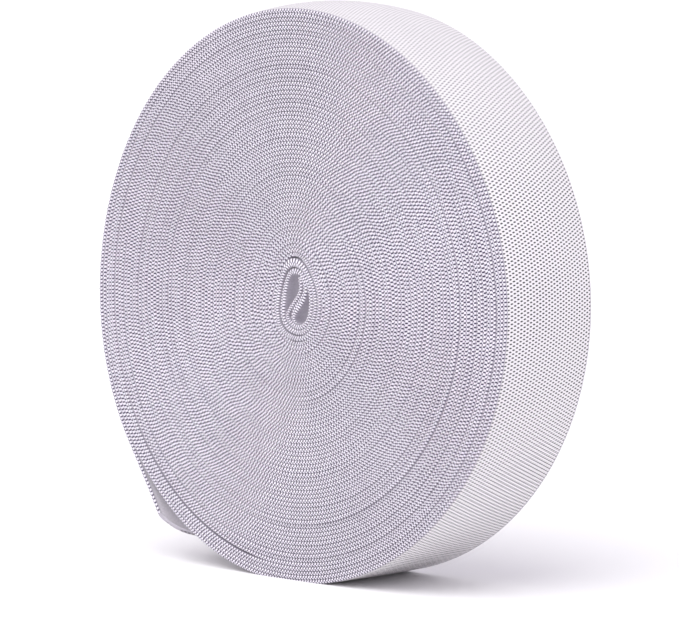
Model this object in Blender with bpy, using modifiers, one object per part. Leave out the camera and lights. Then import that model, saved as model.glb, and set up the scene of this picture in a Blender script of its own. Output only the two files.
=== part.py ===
"""A roll of knitted elastic, standing on its rim.

Metres, +Z up. The roll's axis runs along Y, its front side faces -Y, and the origin is the
centre of the small flat spot that it stands on.

Two solids: the wound roll, with the folded eye at its middle, and the loose end of the tape,
which springs off the outermost turn at the lower left. Seen from the front the tape winds
outwards anticlockwise, and every angle here is counted that way from the top.
"""

import math

import bmesh
import bpy
from mathutils import Vector

MM = 0.001

# The tape and its winding
TAPE_WIDTH = 25.4 * MM
ROLL_RADIUS = 57.8 * MM
AXIS_HEIGHT = 57.0 * MM        # under the radius by the depth of the flat spot
CROWN_TOP = 1.4 * MM           # how far the middle of the tape stands over its edges, at the top
CROWN_BOTTOM = 0.15 * MM       # and where the roll's weight presses it flat
LOBES = (                      # the roll is a little out of round: waves a turn, cosine, sine
    {"waves": 2, "cosine": 0.0067, "sine": -0.0086},
    {"waves": 3, "cosine": 0.0036, "sine": 0.0061},
)

# The loose end
LEAVES_AT = math.radians(124)  # where the outermost turn lets go of the roll
END_THICKNESS = 1.0 * MM
CLEARANCE = 0.35 * MM          # between the loose end and the roll
STEP = END_THICKNESS + CLEARANCE
END_START = 0.5 * MM           # along the rim, past the step in the roll that it comes out of
END_LENGTH = 16.4 * MM         # along its front edge
END_LIFT = 2.8 * MM            # how far that edge has sprung from the roll by then
END_SPRING = 2.2               # it springs away as this power of the length
CUT_DEPTH = 5.6 * MM           # how much longer it is at the back, where the cut's corner isn't trimmed
CUT_REACH = 5.0 * MM           # the width over which the trimmed corner dies out

# How finely the curves are cut up
RIM_POINTS = 160
WIDTH_STATIONS = 8
END_POINTS = 26
END_STATIONS = 12
EYE_RESOLUTION = 6
CORNER_CROWDING = 1.6          # above 1, the stations across are closer at the trimmed corner
SHARP_ANGLE = math.radians(40)  # an edge sharper than this stays a crease
WELD_DISTANCE = 0.01 * MM

# The two openings of the eye, either side of the tape that crosses it: millimetres right of
# and above the roll's axis, clockwise from the top.
UPPER_EYE = (
    (-0.40, 5.00), (0.60, 4.55), (1.18, 3.50), (1.15, 2.30), (0.75, 1.25),
    (-0.50, -0.35), (-1.60, -1.70), (-2.45, -2.85), (-2.70, -1.80), (-2.55, -0.20),
    (-2.20, 1.60), (-1.85, 3.40), (-1.25, 4.65),
)
LOWER_EYE = (
    (3.85, 1.10), (3.96, 0.00), (3.90, -1.90), (3.55, -3.45), (2.80, -4.45),
    (1.70, -4.86), (0.50, -4.86), (-0.35, -4.45), (-0.20, -3.55), (0.70, -2.50),
    (1.75, -1.45), (2.80, -0.35), (3.45, 0.60),
)

# Material
ELASTIC_COLOUR = (0.86, 0.83, 0.90, 1.0)
ELASTIC_ROUGHNESS = 0.85


def clear_scene():
    for thing in list(bpy.data.objects):
        bpy.data.objects.remove(thing, do_unlink=True)


def make_collection(name):
    collection = bpy.data.collections.new(name)
    bpy.context.scene.collection.children.link(collection)
    return collection


def make_material(name, colour, roughness):
    material = bpy.data.materials.new(name)
    material.use_nodes = True
    surface = material.node_tree.nodes["Principled BSDF"]
    surface.inputs["Base Color"].default_value = colour
    surface.inputs["Roughness"].default_value = roughness
    surface.inputs["Metallic"].default_value = 0.0
    return material


def place(angle, radius, y):
    """The point at an angle from the top and a distance from the axis."""
    return Vector((-radius * math.sin(angle), y, AXIS_HEIGHT + radius * math.cos(angle)))


def turned(angle):
    """How much of a turn the tape has still to run, from here on, before it lets go."""
    return 1.0 - ((angle - LEAVES_AT) % math.tau) / math.tau


def rim_radius(angle):
    """Out of round by the lobes, and growing by one step over the last turn."""
    lobes = sum(
        lobe["cosine"] * math.cos(lobe["waves"] * angle) + lobe["sine"] * math.sin(lobe["waves"] * angle)
        for lobe in LOBES
    )
    return ROLL_RADIUS * (1 + lobes) + STEP * (0.5 - turned(angle))


def crown(angle, across):
    """The tape's swell over its edges, across being -1 at the front edge and 1 at the back."""
    height = CROWN_BOTTOM + (CROWN_TOP - CROWN_BOTTOM) * (1 + math.cos(angle)) / 2
    return height * (1 - across * across)


def rim_section(across):
    """One ring of the roll's outline, pressed flat where it meets the ground."""
    ring = []
    for i in range(RIM_POINTS + 1):
        # the last point is at the same angle as the first, one step further out
        angle = LEAVES_AT + math.tau * i / RIM_POINTS
        radius = rim_radius(angle) if i < RIM_POINTS else rim_radius(angle) + STEP
        point = place(angle, radius + crown(angle, across), across * TAPE_WIDTH / 2)
        point.z = max(point.z, 0.0)
        ring.append(point)
    return ring


def loft(name, sections):
    """A closed body through like rings, with a flat face on the first and the last."""
    count = len(sections[0])
    points = [point for section in sections for point in section]
    faces = [
        (s * count + i, s * count + (i + 1) % count, (s + 1) * count + (i + 1) % count, (s + 1) * count + i)
        for s in range(len(sections) - 1)
        for i in range(count)
    ]
    faces.append(tuple(reversed(range(count))))
    faces.append(tuple(range((len(sections) - 1) * count, len(sections) * count)))
    mesh = bpy.data.meshes.new(name)
    mesh.from_pydata(points, [], faces)
    return mesh


def make_eye_cutter(name, outline, collection):
    """A smooth closed outline, drawn out well past both sides of the roll."""
    curve = bpy.data.curves.new(name, "CURVE")
    curve.dimensions = "2D"
    curve.fill_mode = "BOTH"
    curve.extrude = TAPE_WIDTH
    curve.resolution_u = EYE_RESOLUTION
    spline = curve.splines.new("BEZIER")
    spline.bezier_points.add(len(outline) - 1)
    spline.use_cyclic_u = True
    for knot, (x, z) in zip(spline.bezier_points, outline):
        knot.co = (x * MM, z * MM, 0)
        knot.handle_left_type = "AUTO"
        knot.handle_right_type = "AUTO"
    drawn = bpy.data.objects.new(name + "_outline", curve)
    collection.objects.link(drawn)
    drawn.rotation_euler = (math.pi / 2, 0, 0)
    drawn.location = (0, 0, AXIS_HEIGHT)
    bpy.context.view_layer.update()
    graph = bpy.context.evaluated_depsgraph_get()
    mesh = bpy.data.meshes.new_from_object(drawn.evaluated_get(graph))
    cutter = bpy.data.objects.new(name, mesh)
    cutter.matrix_world = drawn.matrix_world
    bpy.data.objects.remove(drawn)
    collection.objects.link(cutter)
    weld(mesh)
    cutter.hide_render = True
    cutter.display_type = "WIRE"
    return cutter


def weld(mesh):
    shape = bmesh.new()
    shape.from_mesh(mesh)
    bmesh.ops.remove_doubles(shape, verts=shape.verts, dist=WELD_DISTANCE)
    bmesh.ops.recalc_face_normals(shape, faces=shape.faces)
    shape.to_mesh(mesh)
    shape.free()


def shade(mesh):
    """Smooth along the curves, with the creases kept."""
    mesh.shade_smooth()
    mesh.set_sharp_from_angle(angle=SHARP_ANGLE)


def make_wound_roll(parts, cutters, material):
    stations = [2 * i / WIDTH_STATIONS - 1 for i in range(WIDTH_STATIONS + 1)]
    mesh = loft("wound_roll", [rim_section(across) for across in stations])
    weld(mesh)
    shade(mesh)
    roll = bpy.data.objects.new("wound_roll", mesh)
    parts.objects.link(roll)
    mesh.materials.append(material)
    for name, outline in (("upper_eye", UPPER_EYE), ("lower_eye", LOWER_EYE)):
        cut = roll.modifiers.new(name, "BOOLEAN")
        cut.operation = "DIFFERENCE"
        cut.solver = "EXACT"
        cut.object = make_eye_cutter(name, outline, cutters)
    return roll


def end_length(y):
    """How long the loose end is at a distance y back from its front edge."""
    return END_LENGTH + CUT_DEPTH * (1 - math.exp(-y / CUT_REACH))


def end_point(length, across):
    """The middle of the loose end's thickness, at a length along it."""
    angle = LEAVES_AT + (END_START + length) / ROLL_RADIUS
    lift = END_LIFT * (length / END_LENGTH) ** END_SPRING
    off_the_roll = CLEARANCE + END_THICKNESS / 2 + lift
    return place(angle, rim_radius(angle) + crown(angle, across) + off_the_roll, across * TAPE_WIDTH / 2)


def make_loose_end(parts, material):
    points = []
    for s in range(END_STATIONS + 1):
        y = TAPE_WIDTH * (s / END_STATIONS) ** CORNER_CROWDING
        across = 2 * y / TAPE_WIDTH - 1
        points += [end_point(end_length(y) * i / END_POINTS, across) for i in range(END_POINTS + 1)]
    row = END_POINTS + 1
    faces = [
        (s * row + i, s * row + i + 1, (s + 1) * row + i + 1, (s + 1) * row + i)
        for s in range(END_STATIONS)
        for i in range(END_POINTS)
    ]
    mesh = bpy.data.meshes.new("loose_end")
    mesh.from_pydata(points, [], faces)
    mesh.materials.append(material)
    shade(mesh)
    end = bpy.data.objects.new("loose_end", mesh)
    parts.objects.link(end)
    wall = end.modifiers.new("thickness", "SOLIDIFY")
    wall.thickness = END_THICKNESS
    wall.offset = 0.0
    return end


def main():
    clear_scene()
    parts = make_collection("roll_of_elastic")
    cutters = make_collection("cutters")
    elastic = make_material("elastic", ELASTIC_COLOUR, ELASTIC_ROUGHNESS)
    make_wound_roll(parts, cutters, elastic)
    make_loose_end(parts, elastic)


main()
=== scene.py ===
# %% [markdown]
# # A roll of knitted elastic
#
# One long flat tape is wound on itself into a disc, which stands on its rim. The disc's two
# sides are the tape's edges, turn beside turn, and its rim is the tape's outer face. At the
# middle the tape's inner end is folded into an eye, and at the rim its outer end springs off.
#
# This lesson winds that tape. The path of its winding is worked out first, then the stitched
# section is carried along the path, so the sides, the eye, the rim and the loose end are all
# the same tape.

import math

import bpy
import numpy as np
from mathutils import Matrix, Vector


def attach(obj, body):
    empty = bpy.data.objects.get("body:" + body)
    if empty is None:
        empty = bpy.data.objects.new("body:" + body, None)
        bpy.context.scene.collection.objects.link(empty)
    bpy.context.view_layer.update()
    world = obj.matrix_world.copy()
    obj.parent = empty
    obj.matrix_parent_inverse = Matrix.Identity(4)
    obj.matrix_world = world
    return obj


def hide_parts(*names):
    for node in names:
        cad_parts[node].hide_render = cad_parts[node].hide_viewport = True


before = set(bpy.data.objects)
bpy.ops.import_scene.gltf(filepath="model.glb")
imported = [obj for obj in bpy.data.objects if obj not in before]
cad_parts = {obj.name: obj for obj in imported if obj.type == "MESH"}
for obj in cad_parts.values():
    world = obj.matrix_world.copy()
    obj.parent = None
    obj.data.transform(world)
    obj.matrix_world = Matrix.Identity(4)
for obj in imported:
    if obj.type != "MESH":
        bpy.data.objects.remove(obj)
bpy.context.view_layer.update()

# %% [markdown]
# ## The main sizes
#
# The tape is one inch wide. Wound under light tension its turns lie a little under a
# millimetre apart. A roll of soft tape is never quite round, so its outline is a circle with
# two slow waves added, and the inner turns start from an upright oval, because they lie round
# the folded eye. Waves are used because they close up smoothly after every turn.

# %% Sizes
MM = 0.001
TAPE_WIDTH = 25.4 * MM
ROLL_RADIUS = 57.8 * MM
AXIS_HEIGHT = 57.0 * MM
TURNS = 57                      # whole turns outside the eye
LEAVES_AT = math.radians(124)   # where the outermost turn lets go, anticlockwise from the top
STITCH = 0.785 * MM             # from one stitch to the next along the tape
STEPS_PER_STITCH = 2.5
CROWN_TOP = 1.4 * MM            # the tape's swell over its edges at the top of the roll
CROWN_BOTTOM = 0.15 * MM        # and at the bottom, under the roll's weight
OUTLINE = {                     # in roll radii; each wave: how many a turn, cosine, sine
    "mean": 1.0,
    "waves": ((2, 0.0067, -0.0086), (3, 0.0036, 0.0061)),
}
EYE_OVAL = {                    # the first whole turn's inner side, in mm, with its own waves
    "mean": 7.09,
    "waves": ((1, 0.03, -0.80), (2, 1.12, -0.06), (3, 0.36, -0.02), (4, 0.19, 0.03)),
}
SEED = 11
chance = np.random.default_rng(SEED)


def wavy(angle, shape):
    """A mean, plus a cosine and a sine of the angle times each wave's number."""
    total = np.full_like(angle, shape["mean"], dtype=float)
    for times, cosine, sine in shape["waves"]:
        total += cosine * np.cos(times * angle) + sine * np.sin(times * angle)
    return total


def crown(angle, across):
    """Highest at the top and the middle: falls with the cosine of the angle and across squared."""
    height = CROWN_BOTTOM + (CROWN_TOP - CROWN_BOTTOM) * (1 + np.cos(angle)) / 2
    return height * (1 - across**2)


print("roll across, mm:", round(2 * ROLL_RADIUS / MM, 1))

# %% [markdown]
# ## Where the camera stands
#
# The camera looks at the roll from the front right, a little above the middle, through a long
# lens from far away, so the disc is hardly distorted. It is built from three directions at
# right angles, which is surer than turning it by eye: backwards from the roll to the camera,
# rightwards along the ground, and upwards square to both.

# %% Camera
CAMERA_AZIMUTH = math.radians(44.22)
CAMERA_ELEVATION = math.radians(5.55)
CAMERA_DISTANCE = 16.684 * ROLL_RADIUS
CAMERA_SIDEWAYS = 0.0079 * ROLL_RADIUS
CAMERA_RAISED = -0.0556 * ROLL_RADIUS
LENS_MM = 251.65
SENSOR_MM = 36.0


def direction(azimuth, elevation):
    """Towards a place in the sky: azimuth counts from the front to the right."""
    return Vector((
        math.sin(azimuth) * math.cos(elevation),
        -math.cos(azimuth) * math.cos(elevation),
        math.sin(elevation),
    ))


backwards = direction(CAMERA_AZIMUTH, CAMERA_ELEVATION)
rightwards = Vector((math.cos(CAMERA_AZIMUTH), math.sin(CAMERA_AZIMUTH), 0.0))
upwards = backwards.cross(rightwards)

camera = bpy.data.objects.new("camera", bpy.data.cameras.new("camera"))
bpy.context.scene.collection.objects.link(camera)
bpy.context.scene.camera = camera
camera.data.lens = LENS_MM
camera.data.sensor_width = SENSOR_MM
camera.data.clip_start = 0.05
camera.data.clip_end = 50.0
turn = Matrix((rightwards, upwards, backwards)).transposed()
spot = Vector((0, 0, AXIS_HEIGHT)) + backwards * CAMERA_DISTANCE
spot += rightwards * CAMERA_SIDEWAYS + upwards * CAMERA_RAISED
camera.matrix_world = Matrix.Translation(spot) @ turn.to_4x4()
print("camera at, m:", [round(x, 3) for x in spot])

# %% [markdown]
# ## The path of the winding
#
# Outside the eye the tape follows a spiral that changes slowly from the eye's upright oval
# to the roll's round outline. Its place is counted in turns from the top of the oval.
#
# A disc with a picture of turns on it would be cheaper, but the sides would be flat and no
# turn would lead into the next. Here each turn's inner side is the outer side of the turn
# before, so the turns fill the disc, with the same formula for all of them.

# %% The spiral
LAST_TURN = TURNS + LEAVES_AT / math.tau
FINE_POINTS = 40000             # for measuring length along the spiral


def side_of_turn(turns):
    """Distance from the axis to the tape's inner side: the eye's oval and the outline, mixed by turns."""
    angle = turns * math.tau
    eye = wavy(angle, EYE_OVAL) * MM
    pitch = (ROLL_RADIUS - EYE_OVAL["mean"] * MM) / (LAST_TURN + 1)
    rim = wavy(angle, OUTLINE) * ROLL_RADIUS + pitch / 2
    return eye + (rim - eye) * turns / (LAST_TURN + 1)


def point_at(angle, radius):
    """Right of the axis and above the ground, for an angle anticlockwise from the top."""
    return np.stack([-radius * np.sin(angle), AXIS_HEIGHT + radius * np.cos(angle)], axis=-1)


def run_along(points):
    """How far along a line each of its points is: the sum of the steps up to it."""
    steps = np.linalg.norm(np.diff(points, axis=0), axis=1)
    return np.concatenate([[0.0], np.cumsum(steps)])


fine_turns = np.linspace(0, LAST_TURN, FINE_POINTS)
fine_middle = (side_of_turn(fine_turns) + side_of_turn(fine_turns + 1)) / 2
fine_run = run_along(point_at(fine_turns * math.tau, fine_middle))
print("length wound outside the eye, m:", round(float(fine_run[-1]), 2))

# %% [markdown]
# ## The eye
#
# The roll was wound on a two-pronged fork. The tape starts between the prongs, doubles back
# once, and then goes round both, so when the fork is drawn out it leaves an opening on each
# side of the doubled tape.
#
# This first stretch isn't a regular spiral, so no single formula gives it. Its path is a list
# of points that a smooth curve goes through, with the tape's thickness at each, because the
# tape is looser here and swells.

# %% The eye's path
EYE_PATH = np.array([  # right of the axis, above the axis, thickness, all in mm
    # the cut end, pinched thin, up the lower side of the diagonal, and round the fold
    (0.95, -4.80, 0.28), (0.35, -4.66, 0.38), (-0.15, -4.32, 0.62), (-0.46, -3.75, 0.98),
    (-0.36, -2.95, 1.30), (0.21, -2.02, 1.50), (1.20, -0.85, 1.50),
    (2.11, 0.25, 1.50), (2.70, 1.25, 1.30), (2.92, 2.30, 1.10), (2.75, 3.40, 1.00),
    (2.40, 4.15, 0.95), (1.95, 4.65, 0.85), (1.50, 4.55, 0.85), (1.48, 3.95, 0.90),
    # down the upper side of the diagonal
    (1.65, 3.20, 0.92), (1.60, 2.20, 0.92), (1.18, 1.15, 0.87), (0.45, 0.20, 0.87),
    (-0.35, -0.76, 0.87), (-1.20, -1.77, 0.87), (-1.90, -2.70, 0.87), (-2.08, -3.50, 0.90),
    # round the lower opening and over the upper one
    (-1.75, -4.20, 0.95), (-0.95, -4.85, 1.00), (0.10, -5.35, 1.05), (1.30, -5.50, 1.10),
    (2.50, -5.15, 1.10), (3.50, -4.30, 1.10), (4.15, -3.10, 1.10), (4.50, -1.60, 1.10),
    (4.58, -0.10, 1.10), (4.45, 1.30, 1.10), (4.10, 2.60, 1.10), (3.50, 3.80, 1.10),
    (2.70, 4.80, 1.10), (1.70, 5.45, 1.15), (0.60, 5.75, 1.25), (-0.50, 5.65, 1.25),
    (-1.40, 5.10, 1.10), (-2.00, 4.20, 1.00),
    # the first turn round both: left, bottom, right
    (-2.48, 2.90, 1.20), (-2.87, 1.50, 1.30), (-3.15, 0.10, 1.35), (-3.35, -1.30, 1.35),
    (-3.38, -2.70, 1.30), (-3.05, -4.10, 1.10), (-2.35, -5.20, 1.05), (-1.30, -5.95, 1.10),
    (0.10, -6.45, 1.00), (1.40, -6.60, 1.00), (2.70, -6.30, 1.05), (3.90, -5.50, 1.10),
    (4.80, -4.40, 1.10), (5.40, -3.10, 1.10), (5.72, -1.50, 1.10), (5.75, 0.30, 1.10),
    (5.40, 2.10, 1.10), (4.75, 3.70, 1.10), (3.80, 5.20, 1.15), (2.70, 6.40, 1.30),
    (1.40, 7.20, 1.70), (0.00, 7.52, 1.85),
    # and the second
    (-1.35, 7.25, 1.70), (-2.55, 6.30, 1.40), (-3.38, 4.95, 1.25), (-3.98, 3.30, 1.30),
    (-4.48, 1.50, 1.38), (-4.82, -0.10, 1.40), (-4.98, -1.70, 1.38), (-4.82, -3.30, 1.25),
    (-4.40, -4.90, 1.10), (-3.45, -6.10, 1.10), (-2.30, -7.00, 1.10), (-0.70, -7.60, 1.10),
    (1.10, -7.80, 1.10), (3.00, -7.40, 1.10), (4.60, -6.35, 1.10), (5.75, -5.00, 1.05),
    (6.50, -3.50, 1.05), (6.90, -1.60, 1.00), (6.97, 0.65, 1.00), (6.50, 2.90, 1.00),
    (5.40, 5.20, 1.05), (4.15, 6.90, 1.05), (2.70, 8.30, 1.00), (1.40, 9.00, 0.95),
])
POINTS_PER_GAP = 24             # of the smooth curve, from one listed point to the next


def smooth_through(knots):
    """A Catmull-Rom curve: each piece a cubic of four neighbouring knots' weighted sum."""
    padded = np.vstack([2 * knots[0] - knots[1], knots, 2 * knots[-1] - knots[-2]])
    a, b, c, d = (padded[i:len(padded) - 3 + i, None, :] for i in range(4))
    t = np.linspace(0, 1, POINTS_PER_GAP, endpoint=False)[None, :, None]
    curve = b + 0.5 * t * (c - a + t * (2 * a - 5 * b + 4 * c - d + t * (3 * (b - c) + d - a)))
    return np.vstack([curve.reshape(-1, knots.shape[1]), knots[-1]])


# the list ends where the spiral starts, at the top of the oval
spiral_start = np.array([0.0])
start_low, start_high = side_of_turn(spiral_start), side_of_turn(spiral_start + 1)
start_middle = point_at(spiral_start, (start_low + start_high) / 2) - [0.0, AXIS_HEIGHT]
start_row = np.column_stack([start_middle, start_high - start_low]) / MM
eye_curve = smooth_through(np.vstack([EYE_PATH, start_row])) * MM
eye_curve[:, 1] += AXIS_HEIGHT
eye_run = run_along(eye_curve[:, :2])
print("length in the eye, mm:", round(float(eye_run[-1]) / MM, 1))

# %% [markdown]
# ## Small unevenness
#
# No two turns lie quite alike. A few slow random lines along the tape's whole length say how
# wide the gap beside it is, how far it stands out of the roll's side, how plump its stitches
# are and how much it is stretched. A random line is a row of random heights joined up, which
# changes slowly along the tape, as tension does, where noise at every point would be a fuzz.
# All are drawn once, from a fixed seed, so every run winds the same roll.

# %% Random lines along the tape
SPARE_TURNS = 4                 # at each end, so the eye and the loose end are covered too


def random_line(per_turn):
    """Random heights from -1 to 1 at even spacing over all turns, to be joined by straight lines."""
    spots = np.arange(-SPARE_TURNS, LAST_TURN + SPARE_TURNS, 1 / per_turn)
    return spots, chance.uniform(-1, 1, len(spots))


gap_line = random_line(per_turn=7)
stand_line = random_line(per_turn=5)
slow_stand_line = random_line(per_turn=0.9)
plump_line = random_line(per_turn=11)
wander_line = random_line(per_turn=5)
all_lines = (gap_line, stand_line, slow_stand_line, plump_line, wander_line)
print("random heights in the five lines:", [len(heights) for spots, heights in all_lines])

# %% Gaps and steps between turns
GAP_EVERYWHERE = 0.008 * MM
GAP_BY_CHANCE = 0.020 * MM
STANDS_OUT_QUICKLY = 0.10 * MM
STANDS_OUT_SLOWLY = 0.16 * MM
WANDER = 1.7                    # stitches: the tape is stretched a little unevenly
OPEN_GAP = {                    # one gap near the rim has opened, at the lower left
    "turns_in": 4.95,
    "from": math.radians(113),
    "to": math.radians(172),
    "opens_over": 0.25,         # radians
    "closes_over": 0.12,
    "wide": 0.34 * MM,
}


def half_gap(turns):
    """Half the gap at the side of the tape that faces the axis: a little everywhere, more by chance.

    The random part is the line's height squared, and none where it is below 0. The open gap
    is added where its turn and its angles are, and fades at both ends.
    """
    random_part = GAP_BY_CHANCE * np.clip(np.interp(turns, *gap_line), 0, 1) ** 2
    angle = (turns * math.tau) % math.tau
    opening = np.clip((angle - OPEN_GAP["from"]) / OPEN_GAP["opens_over"], 0, 1)
    closing = np.clip((OPEN_GAP["to"] - angle) / OPEN_GAP["closes_over"], 0, 1)
    on_its_turn = np.abs(LAST_TURN + 1 - turns - OPEN_GAP["turns_in"]) < 0.5
    return GAP_EVERYWHERE + random_part + OPEN_GAP["wide"] / 2 * opening * closing * on_its_turn


def stands_out(turns):
    """How far the tape's edge stands out of the roll's side: a quick and a slow random line's sum."""
    quick_part = STANDS_OUT_QUICKLY * np.interp(turns, *stand_line)
    slow_part = STANDS_OUT_SLOWLY * np.interp(turns, *slow_stand_line)
    return quick_part + slow_part


print("widest gap, mm:", round(float(2 * half_gap(fine_turns).max()) / MM, 2))

# %% [markdown]
# ## The tape's edge
#
# The tape is knitted, so its edge isn't smooth: two rows of small loops run along it, and
# each loop of one row sits opposite a gap of the other, like bricks. Modelling every thread
# would take millions of faces, and bump alone leaves the roll's outline smooth. So the loops
# are real relief: the section is one closed ring of points, and at each step along the tape
# the ring's points on the edges move in by a formula. What is finer is left to the finish.

# %% Relief of the edge
EDGE_PLACES = np.array([0.0, 0.25, 0.5, 0.75, 1.0])  # across the thickness
EDGE_ROUNDING = 0.26 * MM
LOOP_HEIGHT = 0.17 * MM
LOOP_ROW = 0.25                 # where the first row of loops is, across the thickness
LOOP_SLANT = 0.12               # of a stitch, from one side of the edge to the other
PLUMP_BY_PLACE = 0.25           # how much the loops' height varies along the tape
PLUMP_BY_LOOP = 0.25            # and from one loop to the next
KNOWN_LOOPS = 20011             # a loop's chance comes from a list of this length, used in turn
loop_chances = chance.uniform(-1, 1, KNOWN_LOOPS)


def edge_relief(stitches, place, turns):
    """How far the edge lies in from its highest, and each loop's own chance.

    Rounding grows with the third power of the distance from the middle. The loops are a
    cosine along the tape times a cosine across it, which staggers the two rows.
    """
    off = np.abs(2 * place - 1)
    phase = stitches - LOOP_SLANT * (place - 0.5)
    own = loop_chances[np.round(2 * phase).astype(int) % KNOWN_LOOPS]
    bricks = np.cos(math.tau * phase) * np.cos(math.tau * (place - LOOP_ROW))
    plump = 1 + PLUMP_BY_PLACE * np.interp(turns, *plump_line) + PLUMP_BY_LOOP * own
    return EDGE_ROUNDING * off**3 + LOOP_HEIGHT * plump * (0.5 - 0.5 * bricks), own


print("loops on one edge of the tape, about:", int(2 * (fine_run[-1] + eye_run[-1]) / STITCH))

# %% [markdown]
# ## The tape's face
#
# The faces show columns of loops with a small hole at every crossing, staggered as the bricks
# of the edge are. The holes are too small to cut through, which would also let light into the
# roll that the real one doesn't. Shallow hollows catch the light in the same way, and the finish
# paints shade into them.

# %% Relief of the face
COLUMNS = 15                    # pairs of knitted columns across the tape
HOLE_DEPTH = 0.08 * MM


def face_relief(stitches, across):
    """Depth of the face: the product of two cosines puts hollows in a staggered net."""
    net = np.cos(math.tau * stitches) * np.cos(math.pi * COLUMNS * across)
    return HOLE_DEPTH * (0.5 + 0.5 * net)


print("a pair of columns, mm:", round(TAPE_WIDTH / COLUMNS / MM, 2))

# %% [markdown]
# ## Building a stretch of tape
#
# One function makes every stretch of tape. It is given two lines in the roll's plane, the
# tape's inner side and outer side, and builds the closed ring of the section at each step:
# across the front edge, back along the outer face, across the back edge and home along the
# inner face. Faces that other turns cover need no points between the edges.
#
# A curve object with a bevelled section could carry the ring too, but it can't move the
# ring's points by a formula, and the two sides of the tape aren't always parallel.

# %% The ring and its quads
def section_ring(face_cells):
    """The ring: places through the thickness from 0 inside to 1 outside, and across from -1 to 1."""
    near_edge = 1 - EDGE_ROUNDING / TAPE_WIDTH
    inner_face, outer_face = (
        np.linspace(-1, 1, cells + 1)[1:-1] * near_edge
        for cells in face_cells
    )
    front = -np.ones(len(EDGE_PLACES))
    place = np.concatenate([EDGE_PLACES, 0 * outer_face + 1, EDGE_PLACES[::-1], 0 * inner_face])
    across = np.concatenate([front, outer_face, -front, inner_face[::-1]])
    return place, across


def quads_between(steps, ring):
    """Four corners of every quad: a point, the next ring's, its neighbour's, and the neighbour."""
    at = np.arange(steps - 1)[:, None] * ring
    around = np.arange(ring)[None, :]
    beside = (around + 1) % ring
    quads = np.stack([at + around, at + ring + around, at + ring + beside, at + beside], axis=-1)
    return quads.reshape(-1, 4)


print("points in the plainest ring:", len(section_ring((1, 1))[0]))


# %% [markdown]
# The mesh is filled from whole arrays. Besides its points it carries what the finish needs to
# draw the same stitches that the relief has: a UV map that counts stitches and columns, and a
# few marks on the points. The two cut ends are closed with flat caps, marked as cut.

# %% The mesh
def finish_mesh(name, points, quads, ring, stitches, across, marks):
    """Makes the mesh from arrays, with two end caps, a UV in stitches and columns, and marks."""
    first_cap = np.arange(ring)
    last_cap = np.arange(len(points) - ring, len(points))[::-1]
    corners = np.concatenate([quads.ravel(), first_cap, last_cap])
    starts = np.concatenate([np.arange(len(quads)) * 4, [len(quads) * 4, len(quads) * 4 + ring]])
    is_cap = np.arange(len(starts)) >= len(quads)
    mesh = bpy.data.meshes.new(name)
    mesh.vertices.add(len(points))
    mesh.vertices.foreach_set("co", points.ravel())
    mesh.loops.add(len(corners))
    mesh.loops.foreach_set("vertex_index", corners.astype(np.int32))
    mesh.polygons.add(len(starts))
    mesh.polygons.foreach_set("loop_start", starts.astype(np.int32))
    mesh.update(calc_edges=True)
    mesh.validate()
    mesh.polygons.foreach_set("use_smooth", ~is_cap)

    # the edge round each cap stays sharp
    ends = np.empty(2 * len(mesh.edges), dtype=np.int32)
    mesh.edges.foreach_get("vertices", ends)
    first, second = np.sort(ends.reshape(-1, 2)).T
    round_cap = (second < ring) | (first >= len(points) - ring)
    mesh.attributes.new("sharp_edge", "BOOLEAN", "EDGE").data.foreach_set("value", round_cap)

    columns = np.broadcast_to(across * COLUMNS / 2, stitches.shape)
    uv = np.stack([stitches.ravel()[corners], columns.ravel()[corners]], axis=-1)
    mesh.uv_layers.new(name="knit").data.foreach_set("uv", uv.ravel())
    for mark, values in marks.items():
        mesh.attributes.new(mark, "FLOAT", "POINT").data.foreach_set("value", values.ravel())
    mesh.attributes.new("cut", "FLOAT", "FACE").data.foreach_set("value", is_cap.astype(float))
    mesh.update()
    piece = bpy.data.objects.new(name, mesh)
    bpy.context.scene.collection.objects.link(piece)
    triangles = len(quads) * 2 + 2 * (ring - 2)
    print(f"{name}: {triangles} triangles, {stitches[-1, 0] - stitches[0, 0]:.0f} stitches")
    return piece


# %% Build a stretch of tape
def no_painted_shade(run):
    """Neither face gets the even painted shade and painted glow of the faces inside an opening."""
    return 0 * run, 0 * run


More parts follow.
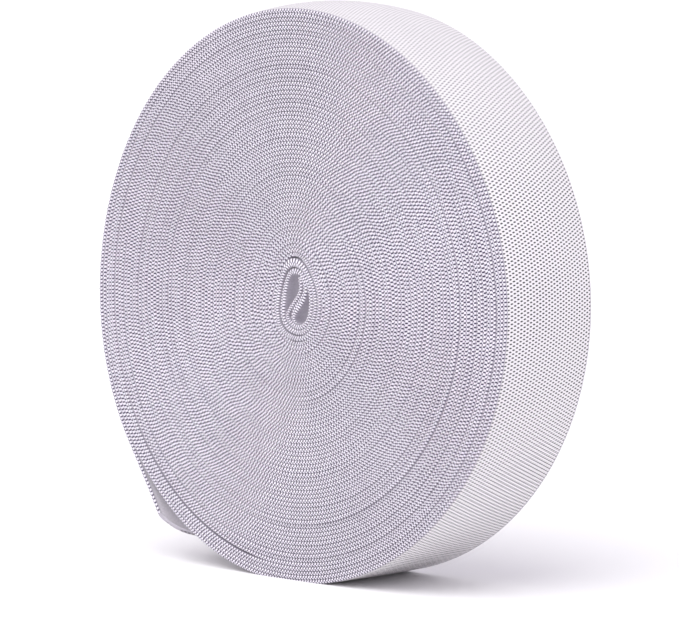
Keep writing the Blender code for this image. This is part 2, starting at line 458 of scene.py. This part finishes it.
def build_tape(
    name, sides, run, crowned=(0, 0), face_cells=(1, 1), painted_shade_and_glow=no_painted_shade, stitch=STITCH, longer=None
):
    """A closed strip along run, between the two lines that sides(run) gives, in relief.

    Every point is a mix of the inner and outer line at its run, moved along y to its place
    across the tape, then moved in by the relief of the edge or the face it is on. Where the
    cut end slants, longer(y) says by what factor the run is stretched there. Pairs are for
    the inner and the outer face: crowned is 1 where the face swells over its edges, and the
    shade function says, at each run, how much of the face has an even painted shade and a
    painted glow in place of its holes.
    """
    place, across = section_ring(face_cells)
    on_edge = np.abs(across) == 1
    ring = len(place)
    stretch = longer(across * TAPE_WIDTH / 2) if longer else np.ones(ring)
    runs = run[:1, None] + (run[:, None] - run[:1, None]) * stretch[None, :]

    inner, outer, turns = sides(runs)
    heading = outer - inner
    heading /= np.linalg.norm(heading, axis=-1, keepdims=True)
    xz = inner + (outer - inner) * place[None, :, None]
    angle = np.arctan2(-xz[..., 0], xz[..., 1] - AXIS_HEIGHT)

    stitches = runs / stitch + WANDER * np.interp(turns, *wander_line)
    edge_depth, own = edge_relief(stitches, place[None, :], turns)
    face_depth = face_relief(stitches, across[None, :])
    stands = stands_out(turns) * np.sign(across)
    y = across * TAPE_WIDTH / 2 + np.where(on_edge, stands - edge_depth * np.sign(across), 0.0)
    towards_inside = np.where(place < 0.5, 1.0, -1.0)
    swell = np.where(place < 0.5, crowned[0], crowned[1]) * crown(angle, across[None, :])
    shift = np.where(on_edge, 0.0, face_depth * towards_inside + swell)
    xz = xz + heading * shift[..., None]
    points = np.stack([xz[..., 0], y, np.maximum(xz[..., 1], 0.0)], axis=-1).reshape(-1, 3)

    marks = {
        "place": place + 0 * runs,
        "edge": on_edge + 0 * runs,
        # how much even painted shade and painted glow each point gets, by face
        "painted_shade_and_glow": np.where(place < 0.5, *painted_shade_and_glow(runs)),
        "chance": own,
    }
    return finish_mesh(name, points, quads_between(len(run), ring), ring, stitches, across, marks)


# %% [markdown]
# ## Winding the eye
#
# The eye is one stretch, from the cut end inside the fold to the top of the oval. Its two
# sides lie half the tape's thickness to each side of the path, square to its heading. The
# faces that look into the two openings are marked for an even painted shade and a painted
# glow, standing in for the shade inside them and the light that comes through the tape.

# %% Wind the eye
EYE_STITCH = 0.60 * MM          # the tape is slack here, so its stitches are shorter
EYE_LOOP = 40 * MM              # counts as one turn, for the random lines
EYE_FACE_CELLS = 8
FOLD_KNOTS = 23                 # the path's points up to where the doubled tape ends
ROUND_KNOTS = 46                # and up to where the first turn leaves the openings behind
fold_run, round_run = (eye_run[POINTS_PER_GAP * (knots - 1)] for knots in (FOLD_KNOTS, ROUND_KNOTS))


def even_steps(start, stop, stitch=STITCH):
    """Runs from start to stop, at the even spacing that the relief needs."""
    count = int(round((stop - start) / stitch * STEPS_PER_STITCH)) + 1
    return np.linspace(start, stop, max(2, count))


def eye_path_at(run):
    """Right of the axis and above the ground, at a run along the path."""
    return np.stack([np.interp(run, eye_run, eye_curve[:, i]) for i in range(2)], axis=-1)


def eye_sides(run):
    """The eye's middle line, and half the thickness to each side of it, square to its heading.

    The heading is from a quarter of a stitch behind to a quarter of a stitch ahead.
    """
    thick = np.interp(run, eye_run, eye_curve[:, 2])
    heading = eye_path_at(run + EYE_STITCH / 4) - eye_path_at(run - EYE_STITCH / 4)
    heading /= np.linalg.norm(heading, axis=-1, keepdims=True)
    inwards = np.stack([-heading[..., 1], heading[..., 0]], axis=-1)
    middle = eye_path_at(run)
    half = inwards * thick[..., None] / 2
    return middle + half, middle - half, (run - eye_run[-1]) / EYE_LOOP


def faces_opening(run):
    """Which face is an opening's wall, given an even painted shade and a painted glow: the right of the
    doubled tape, then the left of the loop.
    """
    return ((run > fold_run) & (run < round_run)) * 1.0, (run <= fold_run) * 1.0


eye = build_tape(
    "folded_eye",
    eye_sides,
    even_steps(0, eye_run[-1], EYE_STITCH),
    face_cells=(EYE_FACE_CELLS, EYE_FACE_CELLS),
    painted_shade_and_glow=faces_opening,
    stitch=EYE_STITCH,
)

# %% [markdown]
# ## Winding the turns
#
# The turns outside the eye hold nearly twelve metres of tape, too much for one mesh, so they
# are cut into equal stretches that meet end to end. Repeating one turn with an array would
# save memory, but a spiral's turns are all of different lengths. The last whole turn shows
# its outer face, so it gets that face's relief too.

# %% Wind the turns
INNER_STRETCHES = 7
SHOWN_FACE_CELLS = 3 * COLUMNS  # three to every pair of columns


def spiral_sides(run):
    """Both sides of the tape at a run along it, each moved in by half the gap beside it."""
    turns = np.interp(run - eye_run[-1], fine_run, fine_turns)
    angle = turns * math.tau
    outer_gap = np.where(turns > LAST_TURN - 1, 0.0, half_gap(turns + 1))
    low = side_of_turn(turns) + half_gap(turns)
    high = side_of_turn(turns + 1) - outer_gap
    return point_at(angle, low), point_at(angle, high), turns


def wind(name, first_turn, last_turn, crowned=(0, 0), face_cells=(1, 1)):
    """A stretch of the spiral, from one count of turns to another."""
    start, stop = np.interp([first_turn, last_turn], fine_turns, fine_run)
    return build_tape(name, spiral_sides, eye_run[-1] + even_steps(start, stop), crowned, face_cells)


inner_length = np.interp(LAST_TURN - 1, fine_turns, fine_run)
cuts = np.interp(np.linspace(0, inner_length, INNER_STRETCHES + 1), fine_run, fine_turns)
turn_pieces = [
    wind(f"turns_{i + 1}", cuts[i], cuts[i + 1])
    for i in range(INNER_STRETCHES)
]
outer_turn = wind("outer_turn", LAST_TURN - 1, LAST_TURN, (0, 1), (1, SHOWN_FACE_CELLS))

# %% [markdown]
# ## The loose end
#
# At the lower left the outermost turn lets go. The tape keeps the curve it was wound to for a
# moment, then straightens and springs off. Its cut end isn't square: the front corner has been
# trimmed away.
#
# A cloth simulation would let it hang limp, but elastic this thick is stiff and remembers its
# curve. It is the same tape, so the same function builds it, step by step further from the
# roll, and the steps are stretched towards the back so that the cut comes out slanting.

# %% Make the loose end
END_LENGTH = 16.4 * MM          # along its front edge
END_LIFT = 2.8 * MM             # how far that edge has sprung from the roll by then
END_SPRING = 2.2                # it springs away as this power of the length
CUT_DEPTH = 5.6 * MM            # how much longer it is at the back
CUT_REACH = 5.0 * MM            # the width over which the trimmed corner dies out
# how much even painted shade and painted glow the loose end's inner face gets
END_INNER_PAINTED_SHADE = 0.5
END_START = eye_run[-1] + fine_run[-1]


def end_sides(run):
    """Both sides of the next turn, lifted by a power of the length so far."""
    length = run - END_START
    angle = LEAVES_AT + length / ROLL_RADIUS
    turns = LAST_TURN + length / ROLL_RADIUS / math.tau
    lift = END_LIFT * (np.maximum(length, 0) / END_LENGTH) ** END_SPRING
    low, high = side_of_turn(turns) + lift, side_of_turn(turns + 1) + lift
    return point_at(angle, low), point_at(angle, high), turns


def end_stretch(y):
    """The cut slants: the end is longer towards the back, by less and less."""
    from_front = y + TAPE_WIDTH / 2
    return 1 + CUT_DEPTH / END_LENGTH * (1 - np.exp(-from_front / CUT_REACH))


def end_painted_shade(run):
    """The inner face gets some even painted shade and painted glow, standing in for the roll's shade on
    it; the outer face gets none.
    """
    return 0 * run + END_INNER_PAINTED_SHADE, 0 * run


loose_end = build_tape(
    "loose_end_tape",
    end_sides,
    END_START + even_steps(0, END_LENGTH),
    crowned=(1, 1),
    face_cells=(SHOWN_FACE_CELLS, SHOWN_FACE_CELLS),
    painted_shade_and_glow=end_painted_shade,
    longer=end_stretch,
)

# %% [markdown]
# ## Shader maths in plain expressions
#
# A finish is worked out with node maths. Adding every node by hand hides the formula, so one
# small class wraps a socket, and a sum or a product can be written as one. Another class adds
# every other kind of node in one way.

# %% The Value class
def put(tree, slot, value):
    """Links a Value to a socket, or sets the socket to a bare number or colour."""
    if isinstance(value, Value):
        tree.links.new(value.socket, slot)
    else:
        slot.default_value = value


class Value:
    """One output of a node, which can be added, multiplied and so on."""

    def __init__(self, tree, socket):
        self.tree = tree
        self.socket = socket

    def math(self, operation, *values, clamp=False):
        node = self.tree.nodes.new("ShaderNodeMath")
        node.operation = operation
        node.use_clamp = clamp
        for slot, value in zip(node.inputs, values):
            put(self.tree, slot, value)
        return Value(self.tree, node.outputs[0])

    def __add__(self, other):
        return self.math("ADD", self, other)

    def __radd__(self, other):
        return self.math("ADD", other, self)

    def __sub__(self, other):
        return self.math("SUBTRACT", self, other)

    def __rsub__(self, other):
        return self.math("SUBTRACT", other, self)

    def __mul__(self, other):
        return self.math("MULTIPLY", self, other)

    def __rmul__(self, other):
        return self.math("MULTIPLY", other, self)

    def __truediv__(self, other):
        return self.math("DIVIDE", self, other)

    def __rtruediv__(self, other):
        return self.math("DIVIDE", other, self)

    def __pow__(self, power):
        return self.math("POWER", self, power)

    def __abs__(self):
        return self.math("ABSOLUTE", self)

    def from_nearest_whole(self):
        return self - self.math("ROUND", self)

    def cosine(self):
        return self.math("COSINE", self)

    def larger(self, other):
        return self.math("MAXIMUM", self, other)

    def clamped(self):
        return self.math("ADD", self, 0.0, clamp=True)


# %% The Nodes class
class Nodes:
    """A node tree being filled."""

    def __init__(self, tree):
        self.tree = tree

    def value(self, kind, settings, sockets, output=0):
        """A node of a type: its settings first, then the values or links of its sockets."""
        made = self.tree.nodes.new(kind)
        for key, setting in settings.items():
            setattr(made, key, setting)
        for key, value in sockets.items():
            put(self.tree, made.inputs[key], value)
        return Value(self.tree, made.outputs[output])


def new_finish(name):
    """A material with its node tree and its shader."""
    material = bpy.data.materials.new(name)
    material.use_nodes = True
    nodes = Nodes(material.node_tree)
    return material, nodes, nodes.tree.nodes["Principled BSDF"]


# %% [markdown]
# ## The elastic's finish
#
# The yarn is white with a faint cool tint, soft and matt. It is brightest on top of the loops
# and goes to a lilac grey between them, where little light gets. A noise pattern would look
# like felt, so the finish follows the same formulas as the relief, from the mesh's count of
# stitches and its marks.
#
# The inner faces that look into an opening get an even painted shade in place of their holes,
# and a painted glow, standing in for the light that white elastic lets through, keeps the
# inside of the eye from going dark. Towards the top of the roll the holes' painted shade fades
# to its mean. Fine fibre is far smaller than a stitch, so noise adds it.

# %% Colours and shades
# The edge's crest colour is the yarn's own; the face's crest is darker, a painted shade that keeps the
# brightly lit rim from washing out. Pit colours are painted shade, lilac grey between the edge's loops
# and near black in the face's holes.
EDGE_CREST = (0.97, 0.935, 1.0, 1.0)
EDGE_PIT = (0.035, 0.018, 0.065, 1.0)
FACE_CREST = (0.85, 0.825, 0.845, 1.0)
FACE_PIT = (0.02, 0.02, 0.025, 1.0)
BLACK = (0.0, 0.0, 0.0, 1.0)
PAINTED_GLOW_COLOUR = (0.95, 0.90, 1.0, 1.0)  # the colour of a painted glow, standing in for light that comes through the tape
PAINTED_GLOW_STRENGTH = 0.24             # how strongly an inner face in painted shade glows
PLAIN_SHADE = 0.83              # how dark the even painted shade on an inner face is, between crest and pit
HOLES_FADE_UNDER_SHADE = 1.9              # how fast holes vanish under the even painted shade
CUT_SHADE = 0.32                # how dark a cut end is
LOOPS_SHADE = {                 # how light the edge is, from pit to crest
    "mean": 1.02,
    "bricks": 2.20,             # how much a loop stands out from the gap beside it
    "rows": 0.50,               # and a row of loops from the groove between the rows
    "falls": 0.25,              # how much darker it is at the edge's corners
    "chance": 0.08,             # how much one loop differs from another
}
HOLE_SHEAR = -0.15              # how far a hole slants along the tape for each column it crosses
HOLE_ALONG = 0.19               # half a hole's size along the tape, in stitches
HOLE_ACROSS = 0.19              # and across it, in columns
HOLE_FADE = 1.5                 # where a hole ends, in squares of its half size
CLOSING_FROM = 78 * MM          # above this height the holes' painted shade fades to its mean
CLOSED_AT_TOP = 0.62
CLOSED_SHADE = 0.24             # the net's mean
FIBRE = {"scale": 2600.0, "detail": 3.0, "shade": 0.22, "bump": 0.25}
PATCHES = {"scale": 45.0, "detail": 2.0, "shade": 0.10}
BUMP_DEPTH = 0.1 * MM


# %% Patterns of the finish
def holes(u, v):
    """Painted shade in slanting holes at every whole number of stitches and columns: 1 inside, 0 outside.

    Each is an ellipse: the squares of both distances from its centre, in half sizes, summed.
    """
    off_v = v.from_nearest_whole()
    off_u = (u + off_v * HOLE_SHEAR).from_nearest_whole()
    return (HOLE_FADE - (off_u / HOLE_ALONG) ** 2.0 - (off_v / HOLE_ACROSS) ** 2.0).clamped()


def light_on_edge(u, place, own):
    """Two staggered rows of bright loops, by the relief's own cosines, darker at the corners."""
    off = abs(place * 2.0 - 1.0)
    along = (u - (place - 0.5) * LOOP_SLANT).from_nearest_whole()
    bricks = (along * math.tau).cosine() * ((place - LOOP_ROW) * math.tau).cosine()
    rows = ((place - LOOP_ROW) * (2 * math.tau)).cosine()
    lit = LOOPS_SHADE["mean"] + bricks * LOOPS_SHADE["bricks"] + rows * LOOPS_SHADE["rows"]
    lit = lit.clamped() * (1.0 - off**3.0 * LOOPS_SHADE["falls"])
    return lit * (1.0 - LOOPS_SHADE["chance"] + own * LOOPS_SHADE["chance"])


def dark_on_face(u, v, height, painted_shade_and_glow):
    """Painted shade in a net of small holes, fading to its mean towards the top of the roll, or to an
    even painted shade.
    """
    closed = ((height - CLOSING_FROM) / (2 * AXIS_HEIGHT - CLOSING_FROM)).clamped() * CLOSED_AT_TOP
    net = holes(u, v).larger(holes(u + 0.5, v + 0.5)) * (1.0 - closed) + closed * CLOSED_SHADE
    return net * (1.0 - painted_shade_and_glow * HOLES_FADE_UNDER_SHADE).clamped() + painted_shade_and_glow * PLAIN_SHADE


def mix_colours(nodes, factor, first, second):
    """Goes from the first colour to the second as the factor goes from 0 to 1."""
    factor_slot, first_slot, second_slot, colour_output = 0, 6, 7, 2
    sockets = {factor_slot: factor, first_slot: first, second_slot: second}
    return nodes.value("ShaderNodeMix", {"data_type": "RGBA"}, sockets, colour_output)


# %% Elastic
def elastic(name):
    """Crest and pit colours, mixed by how dark each spot is."""
    material, nodes, shader = new_finish(name)
    knit = nodes.value("ShaderNodeUVMap", {"uv_map": "knit"}, {})
    u, v = (
        nodes.value("ShaderNodeSeparateXYZ", {}, {"Vector": knit}, axis)
        for axis in range(2)
    )
    place, edge, painted_shade_and_glow, own, cut_end = (
        nodes.value("ShaderNodeAttribute", {"attribute_name": mark}, {}, "Fac")
        for mark in ("place", "edge", "painted_shade_and_glow", "chance", "cut")
    )
    spot = nodes.value("ShaderNodeTexCoord", {}, {}, "Object")
    height = nodes.value("ShaderNodeSeparateXYZ", {}, {"Vector": spot}, 2)
    fibre, patches = (
        nodes.value(
            "ShaderNodeTexNoise", {}, {"Vector": spot, "Scale": noise["scale"], "Detail": noise["detail"]}
        )
        for noise in (FIBRE, PATCHES)
    )

    # dark: painted shade between the edge's loops, in the face's holes and on the inner faces marked for
    # it, then the cut ends' darkness and the random tone of fibre and patches
    dark = (1.0 - light_on_edge(u, place, own)) * edge
    dark = dark + dark_on_face(u, v, height, painted_shade_and_glow) * (1.0 - edge)
    dark = dark * (1.0 - cut_end) + CUT_SHADE * cut_end
    dark = (dark + (fibre - 0.5) * FIBRE["shade"] + (patches - 0.5) * PATCHES["shade"]).clamped()

    cool = edge.larger(painted_shade_and_glow).larger(cut_end)
    pit = mix_colours(nodes, cool, FACE_PIT, EDGE_PIT)
    crest = mix_colours(nodes, cool, FACE_CREST, EDGE_CREST)
    colour = mix_colours(nodes, dark, crest, pit)
    # a painted glow on the inner faces marked for painted shade, standing in for light that comes through
    # the tape
    painted_glow = mix_colours(nodes, painted_shade_and_glow * (1.0 - edge), BLACK, PAINTED_GLOW_COLOUR)
    bump = {"Strength": 0.9, "Distance": BUMP_DEPTH, "Height": fibre * FIBRE["bump"] - dark}
    put(nodes.tree, shader.inputs["Base Color"], colour)
    put(nodes.tree, shader.inputs["Emission Color"], painted_glow)
    put(nodes.tree, shader.inputs["Normal"], nodes.value("ShaderNodeBump", {}, bump))
    shader.inputs["Emission Strength"].default_value = PAINTED_GLOW_STRENGTH
    shader.inputs["Roughness"].default_value = 0.8
    shader.inputs["Specular IOR Level"].default_value = 0.25
    print(f"{name}: {len(nodes.tree.nodes)} nodes")
    return material


knitted = elastic("elastic")

# %% [markdown]
# ## Joining the pieces to the frame
#
# Every stretch rides on the part's one body. The outermost turn takes the place of the plain
# solid roll, which the stretches inside it fill, and the loose end takes the place of the
# plain sheet. The loose end is cloth: it would lie flat as a piece of the tape.

# %% Join the pieces
for piece in [eye, *turn_pieces, outer_turn, loose_end]:
    piece.data.materials.append(knitted)
    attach(piece, "root")

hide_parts("wound_roll")
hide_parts("loose_end")
print("stretches of tape:", len(turn_pieces) + 3)

# %% [markdown]
# ## The floor
#
# The roll stands on a plain white floor, wide enough to have no edge in view. It is one quad,
# and isn't part of the object.

# %% Floor
FLOOR_REACH = 6.0
floor_corners = [(x * FLOOR_REACH, y * FLOOR_REACH, 0) for x, y in ((-1, -1), (1, -1), (1, 1), (-1, 1))]
floor_mesh = bpy.data.meshes.new("floor")
floor_mesh.from_pydata(floor_corners, [], [(0, 1, 2, 3)])
floor = bpy.data.objects.new("floor", floor_mesh)
bpy.context.scene.collection.objects.link(floor)
floor_material, floor_nodes, floor_shader = new_finish("floor")
floor_shader.inputs["Base Color"].default_value = (0.96, 0.96, 0.96, 1.0)
floor_shader.inputs["Roughness"].default_value = 0.9
floor_mesh.materials.append(floor_material)
print("floor, m across:", 2 * FLOOR_REACH)

# %% [markdown]
# ## The light
#
# The light is a soft, bright studio: a white sky all round, with one large lamp high on the
# right, so the rim is brighter than the front side. Several area lamps would also do it, but
# each would have to be placed and balanced. The sky is slightly cool, while the camera itself
# sees a plain white backdrop behind the roll.

# %% Light
SKY = (0.965, 0.93, 1.0, 1.0)
SKY_STRENGTH = 0.86
BACKDROP = (1.0, 1.0, 1.0, 1.0)
SUN_ENERGY = 1.75
SUN_SOFTNESS = math.radians(50)
SUN_AZIMUTH = math.radians(17)
SUN_ELEVATION = math.radians(59)

world = bpy.data.worlds.new("studio")
bpy.context.scene.world = world
world.use_nodes = True
sky = Nodes(world.node_tree)
lighting = sky.value("ShaderNodeBackground", {}, {"Color": SKY, "Strength": SKY_STRENGTH})
backdrop = sky.value("ShaderNodeBackground", {}, {"Color": BACKDROP})
is_camera = sky.value("ShaderNodeLightPath", {}, {}, "Is Camera Ray")
both = sky.value("ShaderNodeMixShader", {}, {0: is_camera, 1: lighting, 2: backdrop})
put(sky.tree, world.node_tree.nodes["World Output"].inputs["Surface"], both)

sun = bpy.data.lights.new("soft_sun", "SUN")
sun.energy = SUN_ENERGY
sun.angle = SUN_SOFTNESS
sun_lamp = bpy.data.objects.new("soft_sun", sun)
bpy.context.scene.collection.objects.link(sun_lamp)
sun_lamp.rotation_mode = "QUATERNION"
sun_lamp.rotation_quaternion = direction(SUN_AZIMUTH, SUN_ELEVATION).to_track_quat("Z", "Y")
bpy.context.scene.view_settings.view_transform = "Standard"
print("lamp's direction:", [round(x, 2) for x in direction(SUN_AZIMUTH, SUN_ELEVATION)])
